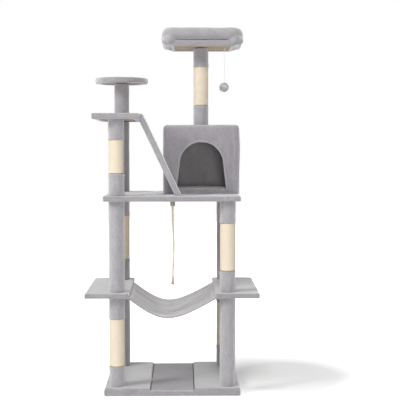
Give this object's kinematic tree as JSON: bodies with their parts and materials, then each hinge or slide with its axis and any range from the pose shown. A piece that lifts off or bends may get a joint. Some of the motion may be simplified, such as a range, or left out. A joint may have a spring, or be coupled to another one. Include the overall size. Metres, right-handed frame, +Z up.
{
  "type": "cat tree",
  "caption": "Tall plush cat tree: base, sisal posts, hammock between two platforms, deck with a house and ramp, two perches, a rimmed bed on top, and hanging toys.",
  "frame": {"origin": "on the floor, under the middle of the whole tree", "axes": "+Z up, +X to the right seen from the front, -Y towards the front, where the house's doorway faces"},
  "size_m": [0.768, 0.565, 1.642],
  "materials": {
    "grey_plush": "matte",
    "felt_mat": "matte",
    "sisal": "matte",
    "particle_board": "matte",
    "fibreboard": "matte",
    "cardboard": "matte",
    "plug_wood": "matte",
    "zinc_steel": "satin",
    "collar_plastic": "satin",
    "cotton_rope": "matte",
    "white_string": "matte",
    "pompom_plush": "matte"
  },
  "bodies": {
    "frame": {"back_left_lower_post_sleeve": "grey_plush", "back_left_middle_post_sleeve": "grey_plush", "back_left_middle_sisal_wrap": "sisal", "back_left_upper_post_sleeve": "grey_plush", "back_right_lower_post_sleeve": "grey_plush", "back_right_lower_sisal_wrap": "sisal", "back_right_middle_post_sleeve": "grey_plush", "base_board": "particle_board", "base_cover": "grey_plush", "base_mat": "felt_mat", "bed_board": "particle_board", "bed_bolster": "grey_plush", "bed_cover": "grey_plush", "bed_pad": "grey_plush", "bed_post_sleeve": "grey_plush", "bed_sisal_wrap": "sisal", "connecting_studs": "zinc_steel", "deck_board": "particle_board", "deck_cover": "grey_plush", "front_left_lower_post_sleeve": "grey_plush", "front_left_lower_sisal_wrap": "sisal", "front_left_middle_post_sleeve": "grey_plush", "front_left_upper_post_sleeve": "grey_plush", "front_left_upper_sisal_wrap": "sisal", "front_right_lower_post_sleeve": "grey_plush", "front_right_middle_post_sleeve": "grey_plush", "front_right_middle_sisal_wrap": "sisal", "hammock_cloth": "grey_plush", "house_back_wall": "fibreboard", "house_cover": "grey_plush", "house_door_trim": "grey_plush", "house_floor_board": "particle_board", "house_front_wall": "fibreboard", "house_left_wall": "fibreboard", "house_right_wall": "fibreboard", "house_roof_board": "particle_board", "left_hammock_board": "particle_board", "left_hammock_cover": "grey_plush", "long_post_tubes": "cardboard", "perch_board": "particle_board", "perch_cover": "grey_plush", "pompom_anchor": "collar_plastic", "post_bolts": "zinc_steel", "ramp_board": "particle_board", "ramp_cover": "grey_plush", "right_hammock_board": "particle_board", "right_hammock_cover": "grey_plush", "rope_collar": "collar_plastic", "round_perch_board": "particle_board", "round_perch_cover": "grey_plush", "top_left_post_sleeve": "grey_plush", "tube_end_plugs": "plug_wood", "upper_post_tubes": "cardboard", "wood_screws": "zinc_steel"},
    "rope_link": {"rope_knot": "cotton_rope"},
    "rope_toy": {"toy_rope": "cotton_rope", "rope_tassel": "cotton_rope"},
    "pompom_link": {"pompom_knot": "white_string"},
    "pompom_toy": {"pompom_string": "white_string", "pompom": "pompom_plush"}
  },
  "joints": [
    {"name": "rope_swing_to_front", "type": "hinge", "parent": "frame", "child": "rope_link", "pos_m": [0, -0.0325, 0.81665], "axis": [1, 0, 0], "range_deg": [-50, 50]},
    {"name": "rope_swing_to_side", "type": "hinge", "parent": "rope_link", "child": "rope_toy", "pos_m": [0, -0.0325, 0.81665], "axis": [0, 1, 0], "range_deg": [-30, 30]},
    {"name": "pompom_swing_to_front", "type": "hinge", "parent": "frame", "child": "pompom_link", "pos_m": [0.243, 0.0975, 1.5507], "axis": [1, 0, 0], "range_deg": [-60, 60]},
    {"name": "pompom_swing_to_side", "type": "hinge", "parent": "pompom_link", "child": "pompom_toy", "pos_m": [0.243, 0.0975, 1.5507], "axis": [0, 1, 0], "range_deg": [-60, 16]}
  ]
}
